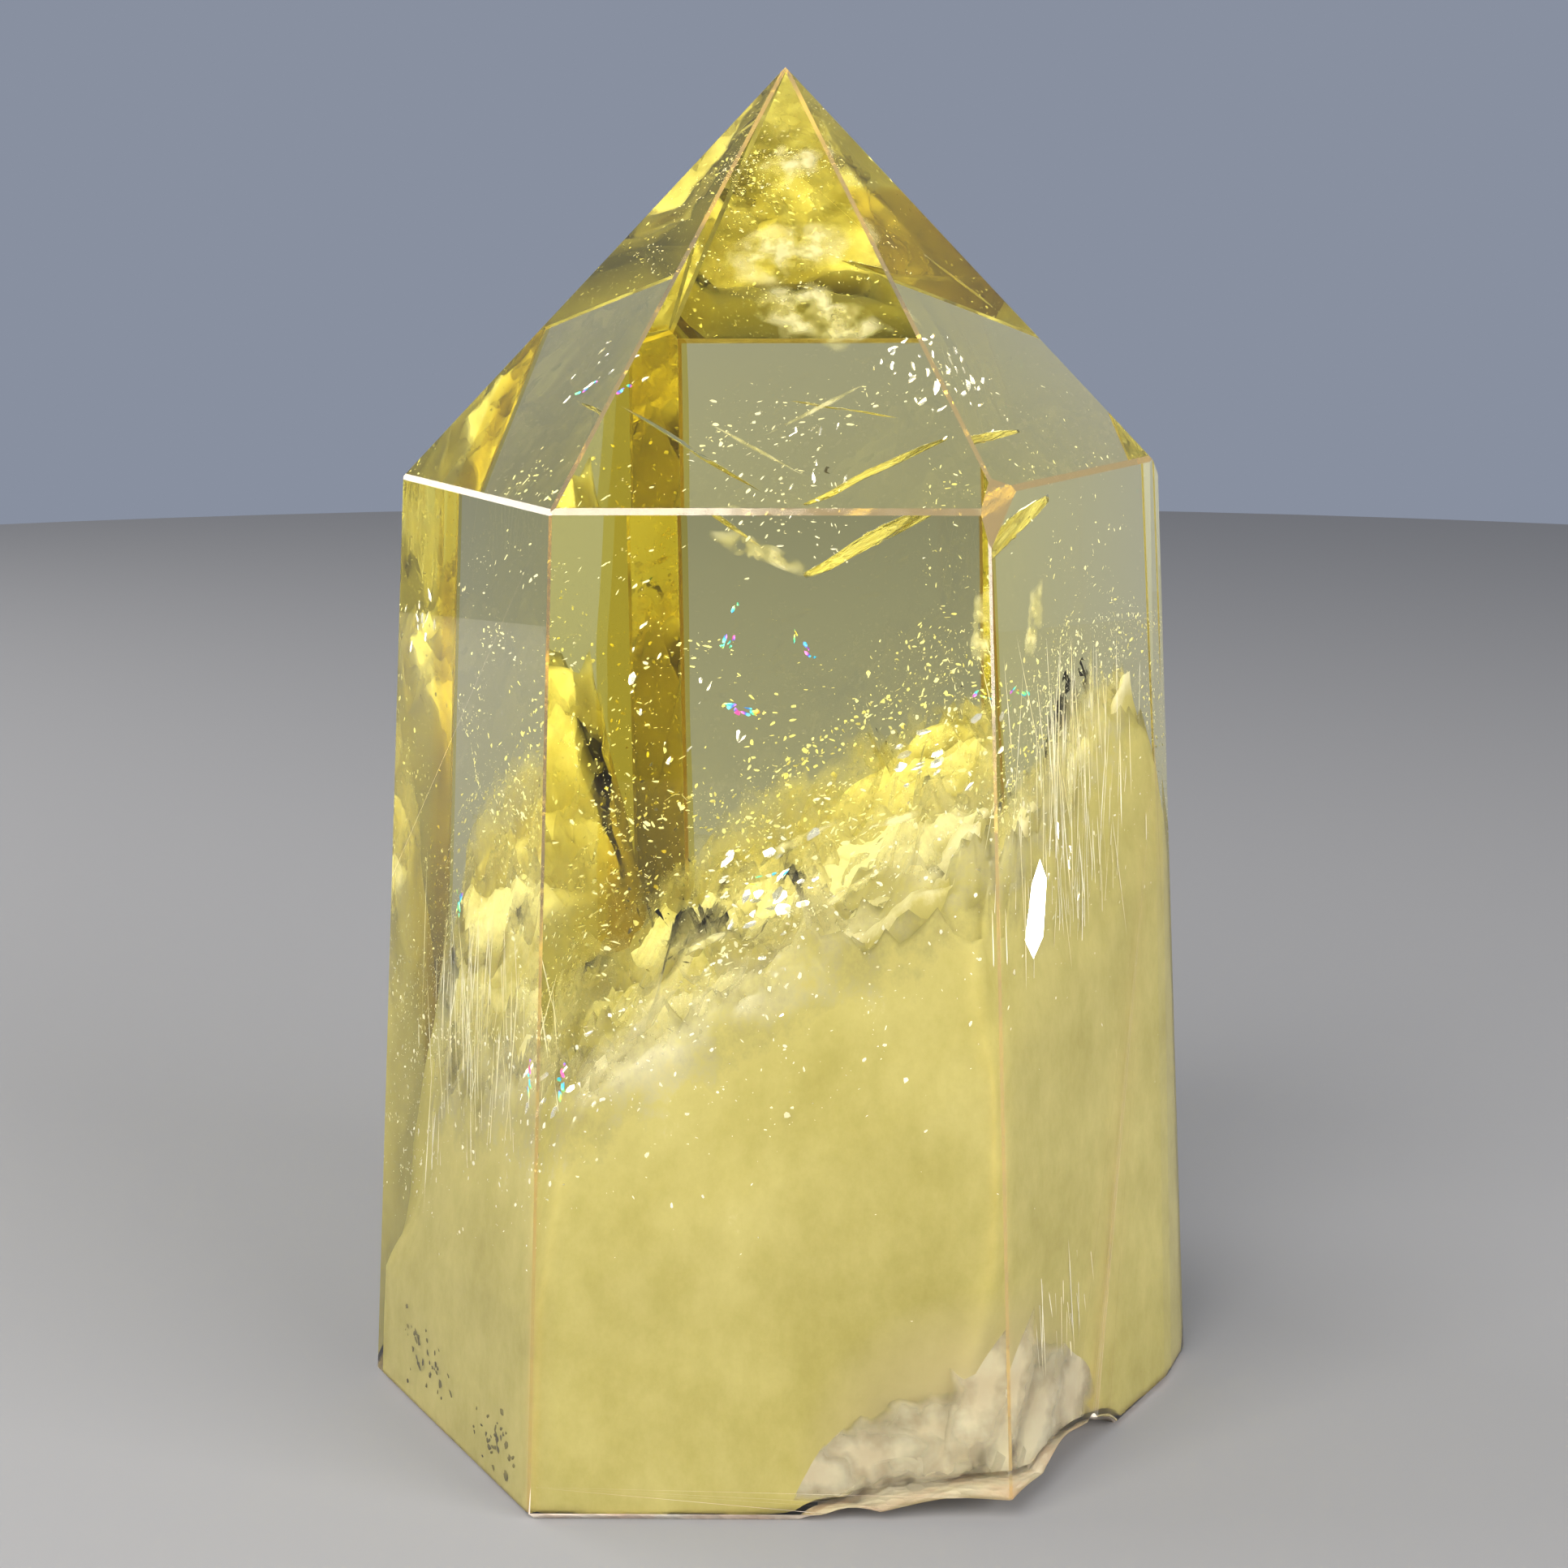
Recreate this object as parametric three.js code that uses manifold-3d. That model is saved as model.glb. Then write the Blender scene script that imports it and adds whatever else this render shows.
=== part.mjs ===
import * as THREE from 'three';
import { mergeVertices } from 'three/addons/utils/BufferGeometryUtils.js';
import ManifoldModule from 'manifold-3d';

// Polished citrine point: one quartz crystal with a six-sided tapering prism, a six-sided
// termination and a flat base with a broken corner. Millimetres, +Z up, base at z = 0.

// Height of the tip above the base.
const HEIGHT = 90;

// Prism faces. Azimuth of the outward normal and lean from upright in degrees,
// reach is the distance from the tip's axis to the face at the base.
const PRISM = {
  front: { azimuth: -90.6, reach: 25.15, lean: 3.4 },
  rightFront: { azimuth: -30.5, reach: 25.15, lean: 3.4 },
  rightStrip: { azimuth: -20, reach: 26.65, lean: 3.05 },
  backRight: { azimuth: 29.2, reach: 25.6, lean: 2.95 },
  back: { azimuth: 90, reach: 25.15, lean: 3.4 },
  backLeft: { azimuth: 140.8, reach: 20.85, lean: 1.5 },
  leftFront: { azimuth: -150.6, reach: 26.45, lean: 3.4 },
};

// Termination faces, all through the tip. Slope is measured from level, in degrees.
const TERMINATION = {
  front: { azimuth: -90.6, slope: 51.1 },
  rightFront: { azimuth: -30.5, slope: 50 },
  backRight: { azimuth: 29.2, slope: 50.2 },
  back: { azimuth: 90, slope: 52 },
  backLeft: { azimuth: 140.8, slope: 54.1 },
  leftFront: { azimuth: -150.6, slope: 49.5 },
};

// Small facet across the front right shoulder corner: direction in degrees, depth cut off the corner.
const CORNER_FACET = { azimuth: -40, rise: 14, depth: 0.42 };

// Worn edges: depth taken off the sharp edge of two neighbouring faces.
const ARRIS_DEPTH = 0.07;
const BASE_EDGE_DEPTH = 0.42;

// Flakes lost from the base under the front right corner, and a nick in the front left shoulder.
// Centre and half-sizes of the scooped hollow, turn about the upright in degrees, height of the ripples.
const FLAKES = [
  { at: [13.5, -21.5, -3.1], half: [14.5, 10.5, 4.9], turn: 8, ripple: 0.055 },
  { at: [18.4, -16.8, -2.4], half: [8.2, 6.4, 5], turn: 52, ripple: 0.07 },
  { at: [20.7, -15, 0.7], half: [1.7, 1.3, 1.9], turn: 30, ripple: 0.09 },
  { at: [4.5, -24.6, -1.6], half: [5.5, 3.4, 2.5], turn: -6, ripple: 0.08 },
  { at: [-14.1, -22.1, 63], half: [1.05, 0.8, 1.25], turn: 20, ripple: 0.06 },
];

// Ripples of a conchoidal break: waves across the scoop, slowest to fastest.
const RIPPLES = [
  { axis: [0.8, 0.5, 0.3], waves: 5.5, share: 0.6 },
  { axis: [-0.4, 0.9, 0.2], waves: 9, share: 0.35 },
  { axis: [0.7, -0.6, 0.4], waves: 17, share: 0.22 },
];
const FLAKE_DETAIL = 11;

// Rough block the faces are ground on, the lap that grinds them, and the distance that welds vertices.
const BLOCK = 80;
const LAP = 240;
const WELD = 1e-4;

const CITRINE_COLOUR = 0xd8cb74;
const CITRINE_ROUGHNESS = 0.06;
const CITRINE_OPACITY = 0.55;

const UP = new THREE.Vector3(0, 0, 1);
const TIP = new THREE.Vector3(0, 0, HEIGHT);

const manifold = await ManifoldModule();
manifold.setup();

const toSolid = (geometry) => {
  const plain = geometry.clone();
  plain.deleteAttribute('normal');
  plain.deleteAttribute('uv');
  const welded = mergeVertices(plain, WELD);
  const mesh = new manifold.Mesh({
    numProp: 3,
    vertProperties: new Float32Array(welded.attributes.position.array),
    triVerts: new Uint32Array(welded.index.array),
  });
  return new manifold.Manifold(mesh);
};

// Outward direction from an azimuth and a rise above level, both in degrees.
const direction = (azimuth, rise) => {
  const around = THREE.MathUtils.degToRad(azimuth);
  const upward = THREE.MathUtils.degToRad(rise);
  const level = Math.cos(upward);
  return new THREE.Vector3(Math.cos(around) * level, Math.sin(around) * level, Math.sin(upward));
};

const prismPlane = ({ azimuth, reach, lean }) => {
  const normal = direction(azimuth, lean);
  return { normal, offset: reach * Math.cos(THREE.MathUtils.degToRad(lean)) };
};

const terminationPlane = ({ azimuth, slope }) => {
  const normal = direction(azimuth, THREE.MathUtils.RAD2DEG * Math.PI / 2 - slope);
  return { normal, offset: normal.dot(TIP) };
};

// Plane that takes a given depth off the edge between two planes, leaning equally to both.
const edgePlane = (first, second, depth) => {
  const normal = first.normal.clone().add(second.normal);
  const length = normal.length();
  return { normal: normal.divideScalar(length), offset: (first.offset + second.offset) / length - depth };
};

// Point shared by three planes.
const cornerOf = (first, second, third) => {
  const across = second.normal.clone().cross(third.normal).multiplyScalar(first.offset);
  across.addScaledVector(third.normal.clone().cross(first.normal), second.offset);
  across.addScaledVector(first.normal.clone().cross(second.normal), third.offset);
  return across.divideScalar(first.normal.dot(second.normal.clone().cross(third.normal)));
};

// Everything on the outer side of a plane, as a large block.
const lapOf = ({ normal, offset }) => {
  const lap = new THREE.BoxGeometry(LAP, LAP, LAP);
  lap.translate(0, 0, LAP / 2 + offset);
  lap.applyQuaternion(new THREE.Quaternion().setFromUnitVectors(UP, normal));
  return toSolid(lap);
};

const flakeOf = ({ at, half, turn, ripple }) => {
  const scoop = new THREE.IcosahedronGeometry(1, FLAKE_DETAIL);
  const position = scoop.attributes.position;
  const point = new THREE.Vector3();
  const centre = new THREE.Vector3(...at);
  const size = new THREE.Vector3(...half);
  const angle = THREE.MathUtils.degToRad(turn);
  for (let i = 0; i < position.count; i += 1) {
    point.fromBufferAttribute(position, i);
    let swell = 1;
    for (const { axis, waves, share } of RIPPLES) {
      const along = point.x * axis[0] + point.y * axis[1] + point.z * axis[2];
      swell += ripple * share * Math.sin(along * waves + turn);
    }
    point.multiplyScalar(swell).multiply(size).applyAxisAngle(UP, angle).add(centre);
    position.setXYZ(i, point.x, point.y, point.z);
  }
  return toSolid(scoop);
};

// Six main faces and a narrow strip on the prism, six faces on the termination, and the sawn base.
const prism = Object.values(PRISM).map(prismPlane);
const termination = Object.values(TERMINATION).map(terminationPlane);
const base = { normal: UP.clone().negate(), offset: 0 };

// Upright edges, shoulder edges and edges running up to the tip.
const arrises = prism.map((face, i) => edgePlane(face, prism[(i + 1) % prism.length], ARRIS_DEPTH));
termination.forEach((face, i) => {
  arrises.push(edgePlane(face, termination[(i + 1) % termination.length], ARRIS_DEPTH));
});
Object.keys(TERMINATION).forEach((name) => {
  const shoulder = edgePlane(prismPlane(PRISM[name]), terminationPlane(TERMINATION[name]), ARRIS_DEPTH);
  arrises.push(shoulder);
});
const baseEdges = prism.map((face) => edgePlane(face, base, BASE_EDGE_DEPTH));

const shoulderCorner = cornerOf(
  prismPlane(PRISM.front),
  prismPlane(PRISM.rightFront),
  terminationPlane(TERMINATION.front),
);
const cornerNormal = direction(CORNER_FACET.azimuth, CORNER_FACET.rise);
const cornerFacet = {
  normal: cornerNormal,
  offset: cornerNormal.dot(shoulderCorner) - CORNER_FACET.depth,
};

const rough = new THREE.BoxGeometry(BLOCK, BLOCK, HEIGHT);
rough.translate(0, 0, HEIGHT / 2);
let crystal = toSolid(rough);
for (const plane of [...prism, ...termination, ...arrises, ...baseEdges, cornerFacet]) {
  crystal = crystal.subtract(lapOf(plane));
}
for (const flake of FLAKES) {
  crystal = crystal.subtract(flakeOf(flake));
}

const cut = crystal.getMesh();
const surface = new THREE.BufferGeometry();
surface.setAttribute('position', new THREE.BufferAttribute(new Float32Array(cut.vertProperties), 3));
surface.setIndex(new THREE.BufferAttribute(new Uint32Array(cut.triVerts), 1));

// The middle of the base stands at the origin.
surface.computeBoundingBox();
const middle = surface.boundingBox.getCenter(new THREE.Vector3());
surface.translate(-middle.x, -middle.y, -surface.boundingBox.min.z);

const citrine = new THREE.MeshStandardMaterial({
  name: 'citrine',
  color: CITRINE_COLOUR,
  roughness: CITRINE_ROUGHNESS,
  metalness: 0,
  transparent: true,
  opacity: CITRINE_OPACITY,
  flatShading: true,
});

const crystalMesh = new THREE.Mesh(surface, citrine);
crystalMesh.name = 'crystal';

const point = new THREE.Group();
point.name = 'citrine_point';
point.add(crystalMesh);

export default point;
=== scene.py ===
import math

import bpy
import numpy as np
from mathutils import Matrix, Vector


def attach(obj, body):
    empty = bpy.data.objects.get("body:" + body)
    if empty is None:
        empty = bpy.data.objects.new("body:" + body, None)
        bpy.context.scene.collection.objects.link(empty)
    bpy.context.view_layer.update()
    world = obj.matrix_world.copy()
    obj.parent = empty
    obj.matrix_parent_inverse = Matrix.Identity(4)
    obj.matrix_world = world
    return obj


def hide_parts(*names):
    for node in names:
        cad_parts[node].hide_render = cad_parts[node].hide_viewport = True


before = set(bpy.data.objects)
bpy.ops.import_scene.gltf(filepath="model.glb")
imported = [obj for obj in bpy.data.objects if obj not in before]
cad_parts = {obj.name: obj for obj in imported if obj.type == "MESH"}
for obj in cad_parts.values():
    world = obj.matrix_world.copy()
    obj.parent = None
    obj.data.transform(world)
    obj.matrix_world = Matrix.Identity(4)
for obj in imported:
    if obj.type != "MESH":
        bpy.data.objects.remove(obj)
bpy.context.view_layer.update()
collection = bpy.context.scene.collection

# The crystal: one citrine quartz point, grown as a six-sided prism with a six-sided termination, then sawn
# flat at the base, ground on flat laps and polished. Its faces are flat and glassy, its edges are worn dull,
# and a flake broken from under the front right corner left a rough scar.
MM = 0.001
WELD_DIGITS = 7
# Triangles whose planes agree to these steps make up one flat face.
PLANE_STEP = 0.05 * MM
NORMAL_STEP = 0.002
# A face smaller than the first area is part of a break, one larger than the second is a main face.
FLAT_FACE = 1.2 * MM**2
MAIN_FACE = 60 * MM**2
# Upward part of the normal under the break's overhang and on the level base.
OVERHANG = -0.3
LEVEL_BASE = -0.99
POLISHED, WORN, BROKEN, GROUND = 0, 1, 2, 3

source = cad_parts["crystal"].data
source.calc_loop_triangles()
loose = np.empty(len(source.vertices) * 3)
source.vertices.foreach_get("co", loose)
triangles = np.empty(len(source.loop_triangles) * 3, dtype=np.int64)
source.loop_triangles.foreach_get("vertices", triangles)
welded, joined = np.unique(np.round(loose.reshape(-1, 3), WELD_DIGITS), axis=0, return_inverse=True)
triangles = joined.reshape(-1)[triangles].reshape(-1, 3)


def face_planes(points, faces):
    """Unit normal, distance from the origin and area of each triangle: the normal is the cross product of two
    edges over its length, the area is half that length, the distance is the normal dotted with a corner."""
    first, second, third = (points[faces[:, i]] for i in range(3))
    across = np.cross(second - first, third - first)
    length = np.linalg.norm(across, axis=1)
    normal = across / np.maximum(length, 1e-30)[:, None]
    return normal, np.einsum("ij,ij->i", normal, first), length / 2


normals, offsets, areas = face_planes(welded, triangles)
plane_key = np.round(np.column_stack([normals * PLANE_STEP / NORMAL_STEP, offsets]) / PLANE_STEP)
_, first_of, plane_of = np.unique(plane_key, axis=0, return_index=True, return_inverse=True)
plane_of = plane_of.reshape(-1)
plane_area = np.bincount(plane_of, weights=areas)
finish = np.where(plane_area[plane_of] > FLAT_FACE, WORN, BROKEN)
finish[(finish == WORN) & (normals[:, 2] < OVERHANG)] = BROKEN
finish[plane_area[plane_of] > MAIN_FACE] = POLISHED
finish[(normals[:, 2] < LEVEL_BASE) & (plane_area[plane_of] > MAIN_FACE)] = GROUND
main_faces = first_of[plane_area > MAIN_FACE]
WALL_NORMALS, WALL_OFFSETS = normals[main_faces], offsets[main_faces]


def linear(hex_colour):
    """sRGB hex to linear RGBA: each channel, from 0 to 1, has the sRGB curve undone."""
    channel = np.array([int(hex_colour[i:i + 2], 16) for i in (0, 2, 4)]) / 255
    value = np.where(channel <= 0.04045, channel / 12.92, ((channel + 0.055) / 1.055) ** 2.4)
    return (*value.tolist(), 1.0)


def node(tree, kind, settings=None, links=None, stops=()):
    """Adds a node. Settings are input names or numbers with plain values, or the node's own properties; links
    are input names or numbers with the output that feeds them; stops are places and hex colours, the two ends
    first, for a node that has a ramp."""
    made = tree.nodes.new(kind)
    for key, value in (settings or {}).items():
        if isinstance(key, int) or key in made.inputs:
            made.inputs[key].default_value = value
        else:
            setattr(made, key, value)
    for key, output in (links or {}).items():
        tree.links.new(output, made.inputs[key])
    for number, (where, colour) in enumerate(stops):
        stop = made.color_ramp.elements[number] if number < 2 else made.color_ramp.elements.new(where)
        stop.position, stop.color = where, linear(colour)
    return made


def blank_material(name):
    """A new material and its empty node tree. Light reaches the inside of the stone only by bending at its
    faces, so straight shadow rays through it are left out."""
    material = bpy.data.materials.new(name)
    material.use_nodes = True
    material.use_transparent_shadow = False
    material.node_tree.nodes.clear()
    return material, material.node_tree


def pattern_scale(size_mm):
    """Texture scale that makes one cell of a pattern this many millimetres wide."""
    return 1 / (size_mm * MM)


# Iron-bearing quartz takes out blue and a little green along the way through it, per metre.
QUARTZ_IOR = 1.544
CITRINE_INSIDE = {"Color": (0.988, 0.945, 0.01, 1), "Density": 17.0}

# Polished citrine: clear and glassy all over, yellow by the depth that light crosses.
polished, tree = blank_material("polished_citrine")
shader = node(tree, "ShaderNodeBsdfPrincipled",
              {"Base Color": (1, 1, 1, 1), "Roughness": 0.01, "IOR": QUARTZ_IOR, "Transmission Weight": 1.0})
inside = node(tree, "ShaderNodeVolumeAbsorption", CITRINE_INSIDE)
node(tree, "ShaderNodeOutputMaterial", None, {"Surface": shader.outputs[0], "Volume": inside.outputs[0]})

# Worn quartz edge: ground and knocked, so it stays frosted and shows as a thin pale line.
worn, tree = blank_material("worn_quartz_edge")
place = node(tree, "ShaderNodeTexCoord").outputs["Object"]
knocks = node(tree, "ShaderNodeTexNoise", {"Scale": pattern_scale(0.9), "Detail": 3.0}, {"Vector": place})
frost = node(tree, "ShaderNodeMapRange", {"From Min": 0.35, "From Max": 0.65, "To Min": 0.02, "To Max": 0.16},
             {"Value": knocks.outputs[0]})
shader = node(tree, "ShaderNodeBsdfPrincipled",
              {"Base Color": linear("fffbe4"), "IOR": QUARTZ_IOR, "Transmission Weight": 0.92},
              {"Roughness": frost.outputs[0]})
inside = node(tree, "ShaderNodeVolumeAbsorption", CITRINE_INSIDE)
node(tree, "ShaderNodeOutputMaterial", None, {"Surface": shader.outputs[0], "Volume": inside.outputs[0]})

# Broken quartz: a bruised, sugary break that scatters light, cream to faintly pink.
broken, tree = blank_material("broken_quartz")
place = node(tree, "ShaderNodeTexCoord").outputs["Object"]
stain = node(tree, "ShaderNodeTexNoise", {"Scale": pattern_scale(3), "Detail": 4.0}, {"Vector": place})
cream = node(tree, "ShaderNodeValToRGB", None, {"Fac": stain.outputs[0]},
             ((0.38, "f7efdf"), (0.66, "ecd0b9")))
grains = node(tree, "ShaderNodeTexVoronoi", {"Scale": pattern_scale(0.8)}, {"Vector": place})
sugary = node(tree, "ShaderNodeBump", {"Strength": 0.6, "Distance": 0.25 * MM}, {"Height": grains.outputs[0]})
shader = node(tree, "ShaderNodeBsdfPrincipled",
              {"Roughness": 0.45, "IOR": QUARTZ_IOR, "Transmission Weight": 0.12},
              {"Base Color": cream.outputs[0], "Normal": sugary.outputs[0]})
inside = node(tree, "ShaderNodeVolumeAbsorption", CITRINE_INSIDE)
node(tree, "ShaderNodeOutputMaterial", None, {"Surface": shader.outputs[0], "Volume": inside.outputs[0]})

# Ground base: sawn and ground but not polished, so it is matt and sends light back up into the stone.
ground, tree = blank_material("ground_quartz_base")
place = node(tree, "ShaderNodeTexCoord").outputs["Object"]
saw = node(tree, "ShaderNodeTexNoise", {"Scale": pattern_scale(2), "Detail": 3.0}, {"Vector": place})
matt = node(tree, "ShaderNodeMapRange", {"To Min": 0.55, "To Max": 0.8}, {"Value": saw.outputs[0]})
shader = node(tree, "ShaderNodeBsdfPrincipled",
              {"Base Color": linear("fbf6e4"), "IOR": QUARTZ_IOR, "Transmission Weight": 0.25},
              {"Roughness": matt.outputs[0]})
inside = node(tree, "ShaderNodeVolumeAbsorption", CITRINE_INSIDE)
node(tree, "ShaderNodeOutputMaterial", None, {"Surface": shader.outputs[0], "Volume": inside.outputs[0]})

crystal_mesh = bpy.data.meshes.new("crystal_polished")
crystal_mesh.from_pydata(welded.tolist(), [], triangles.tolist())
crystal_mesh.polygons.foreach_set("material_index", finish)
crystal_mesh.polygons.foreach_set("use_smooth", finish == BROKEN)
for material in (polished, worn, broken, ground):
    crystal_mesh.materials.append(material)
crystal = bpy.data.objects.new("crystal_polished", crystal_mesh)
collection.objects.link(crystal)
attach(crystal, "root")
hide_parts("crystal")


# The milky cloud: countless fluid-filled pits too small to see, which fill the lower half and turn it milky.
# It stands higher at the back and on the right, lies close under the faces low down but leaves the left edge
# clear, and its top is torn into wisps.
CLOUD_FOOT = 0.25 * MM
# A body set further in has its foot higher by this share of the way.
FOOT_RISE = 0.2
# Way in from the faces: low down, and at the top, with the height over which one turns into the other.
CLOUD_HUG = 0.6 * MM
CLOUD_INSET = 4.4 * MM
CLOUD_SETTLE = 14 * MM
CLOUD_TOP = 37 * MM
CLOUD_SLOPE = np.array([0.62, 0.08])
CREST_LIMITS = (5 * MM, 56 * MM)
# The prism's taper is read between the base and this height.
TAPER_HEIGHT = 60 * MM
# Innermost ring of the foot and the top, as a share of the way out.
AXIS_SHARE = 0.02
# The side swells and shrinks by this share, along a way round of this length per radian.
BULGE = 0.22
BULGE_LEAST = 0.3
BULGE_ROUND = 22 * MM
BULGE_WAVES = (0.08, 0.5)
# In shares of the tear: how far above the sloping top the cover ends, and over what height it fades.
COVER_END = 0.6
COVER_FADE = 1.9
COVER_AT_POLES = (1, 0.3)
# The left edge stays clear: its direction and spread in degrees, the way in, and the height where it starts.
CLEAR_EDGE = 178
CLEAR_SPREAD = 13
CLEAR_DEPTH = 5 * MM
CLEAR_FOOT = (8 * MM, 13 * MM)
# The cloud gives way to the bruise behind the broken corner.
BRUISE = (12.5 * MM, -22.5 * MM, 3 * MM)
BRUISE_REACH = 9 * MM
BRUISE_DEPTH = 6 * MM


def wall_distance(start, along):
    """Distance from a start point along each direction to the nearest crystal face: the gap to the face over
    how fast the direction nears it, least over the faces ahead."""
    nearing = along @ WALL_NORMALS.T
    gap = WALL_OFFSETS - start @ WALL_NORMALS.T
    return np.where(nearing > 1e-6, gap / np.maximum(nearing, 1e-6), np.inf).min(axis=-1)


WAVE_COUNT = 9
FOLDED_MEAN = 0.64
WAVE_SUM = 1.4


def torn_waves(first, second, seed, longest=0.14, shortest=2.4):
    """Ragged waves over two coordinates in metres, about -1 to 1: a sum of folded sine waves with random
    headings, each shorter and lower than the last, so that crests are sharp. The longest and shortest are in
    radians per millimetre."""
    rng = np.random.default_rng(seed)
    height = np.zeros(np.broadcast(first, second).shape)
    for waves in np.geomspace(longest, shortest, WAVE_COUNT):
        heading, phase = rng.uniform(0, 2 * np.pi, 2)
        run = (first * np.cos(heading) + second * np.sin(heading)) / MM * waves
        height += (FOLDED_MEAN - np.abs(np.sin(run + phase))) * (longest / waves) ** 0.5 / WAVE_SUM
    return height


# The broken surface low down, which flaws near it have to stay under.
SCAR_TOP = 12 * MM
SCAR_REACH = 3.5 * MM
SCAR_COVER = 0.45 * MM
facet_middles = welded[triangles].mean(axis=1)
scar = (plane_area[plane_of] <= FLAT_FACE) & (facet_middles[:, 2] < SCAR_TOP)
SCAR_MIDDLES, SCAR_NORMALS = facet_middles[scar], normals[scar]


def behind_scar(points):
    """Keeps points under the broken surface: where the nearest broken facet is within reach, the gap to it
    along its normal is brought up to the cover by moving the point straight in."""
    box = np.concatenate([points > SCAR_MIDDLES.min(axis=0) - SCAR_REACH,
                          points < SCAR_MIDDLES.max(axis=0) + SCAR_REACH], axis=1)
    close = np.flatnonzero(box.all(axis=1))
    apart = np.linalg.norm(points[close, None] - SCAR_MIDDLES[None], axis=-1)
    facet = apart.argmin(axis=1)
    gap = np.einsum("ij,ij->i", SCAR_MIDDLES[facet] - points[close], SCAR_NORMALS[facet])
    inward = np.where(apart.min(axis=1) < SCAR_REACH, np.maximum(SCAR_COVER - gap, 0), 0)
    moved = points.copy()
    moved[close] -= inward[:, None] * SCAR_NORMALS[facet]
    return moved


def add_flaw(name, points, faces, material):
    """Makes a flaw inside the stone, which rides with the crystal, and returns its mesh."""
    mesh = bpy.data.meshes.new(name)
    mesh.from_pydata(points.tolist(), [], faces)
    mesh.materials.append(material)
    flaw = bpy.data.objects.new(name, mesh)
    collection.objects.link(flaw)
    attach(flaw, "root")
    return mesh


def cloud_body(name, material, further, lower, tear, seed, spokes=200, side_rows=70, cap_rows=50):
    """Closed body lofted round the upright axis: rows run from the middle of a level foot out to its rim, up
    a wavy side a set way in from the crystal's faces, and over a torn top that slopes across the plan back to
    the axis. A body set further in and lower lies inside another. The attribute 'cover' is 1 low down and
    falls to 0 at the crests of the top. Further, lower and tear are in millimetres."""
    further, lower, tear = further * MM, lower * MM, tear * MM
    foot_level = CLOUD_FOOT + FOOT_RISE * further
    turn = np.linspace(0, 2 * np.pi, spokes, endpoint=False)
    along = np.column_stack([np.cos(turn), np.sin(turn), np.zeros(spokes)])
    low, high = (wall_distance(np.array([0, 0, level]), along) for level in (0, TAPER_HEIGHT))
    out = np.linspace(AXIS_SHARE, 1, cap_rows)
    share = np.concatenate([out[:-1], np.ones(side_rows), out[-2::-1]])[:, None]
    stay = np.zeros(cap_rows - 1)
    climb = np.concatenate([stay, np.linspace(0, 1, side_rows), stay + 1])[:, None]
    near = (low + high) / 2 - CLOUD_INSET
    x, y = share * near * along[:, 0], share * near * along[:, 1]
    level = CLOUD_TOP - lower + CLOUD_SLOPE[0] * x + CLOUD_SLOPE[1] * y
    crest = np.clip(level + torn_waves(x, y, seed) * tear, *CREST_LIMITS)
    z = foot_level + climb * (crest - foot_level)
    bulge = 1 + BULGE * torn_waves(turn * BULGE_ROUND, z, seed + 40, *BULGE_WAVES)
    settled = np.clip((z - level) / CLOUD_SETTLE + 1, 0, 1)
    inset = (CLOUD_HUG + (CLOUD_INSET - CLOUD_HUG) * settled) * np.clip(bulge, BULGE_LEAST, None)
    reach = low + (high - low) * z / TAPER_HEIGHT - inset - further
    rim = np.stack([reach * along[:, 0], reach * along[:, 1], z], -1)
    apart = np.linalg.norm(rim - np.array(BRUISE), axis=-1) / BRUISE_REACH
    reach = reach - BRUISE_DEPTH * np.exp(-(apart**2))
    aside = (np.degrees(turn) - CLEAR_EDGE) / CLEAR_SPREAD
    risen = np.clip((z - CLEAR_FOOT[0]) / (CLEAR_FOOT[1] - CLEAR_FOOT[0]), 0, 1)
    reach = reach - CLEAR_DEPTH * np.exp(-(aside**2)) * risen
    ring = np.stack([share * reach * along[:, 0], share * reach * along[:, 1], z], -1)
    points = np.concatenate([ring.reshape(-1, 3), [[0, 0, foot_level], [0, 0, z[-1].mean()]]])
    rows = len(share)
    here, after = np.arange(spokes), np.roll(np.arange(spokes), -1)
    step = (np.arange(rows - 1) * spokes)[:, None]
    above = step + spokes
    skin = np.stack([step + here, step + after, above + after, above + here], -1).reshape(-1, 4)
    foot = np.column_stack([np.full(spokes, rows * spokes), after, here])
    last = (rows - 1) * spokes
    lid = np.column_stack([np.full(spokes, rows * spokes + 1), last + here, last + after])
    faces = [*skin.tolist(), *foot.tolist(), *lid.tolist()]
    mesh = add_flaw(name, behind_scar(points), faces, material)
    cover = np.clip((level + COVER_END * tear - z) / (COVER_FADE * tear), 0, 1)
    cover = np.concatenate([cover.reshape(-1), COVER_AT_POLES]).astype(np.float32)
    mesh.attributes.new("cover", "FLOAT", "POINT").data.foreach_set("value", cover)
    mesh.polygons.foreach_set("use_smooth", np.ones(len(faces), dtype=bool))


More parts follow.
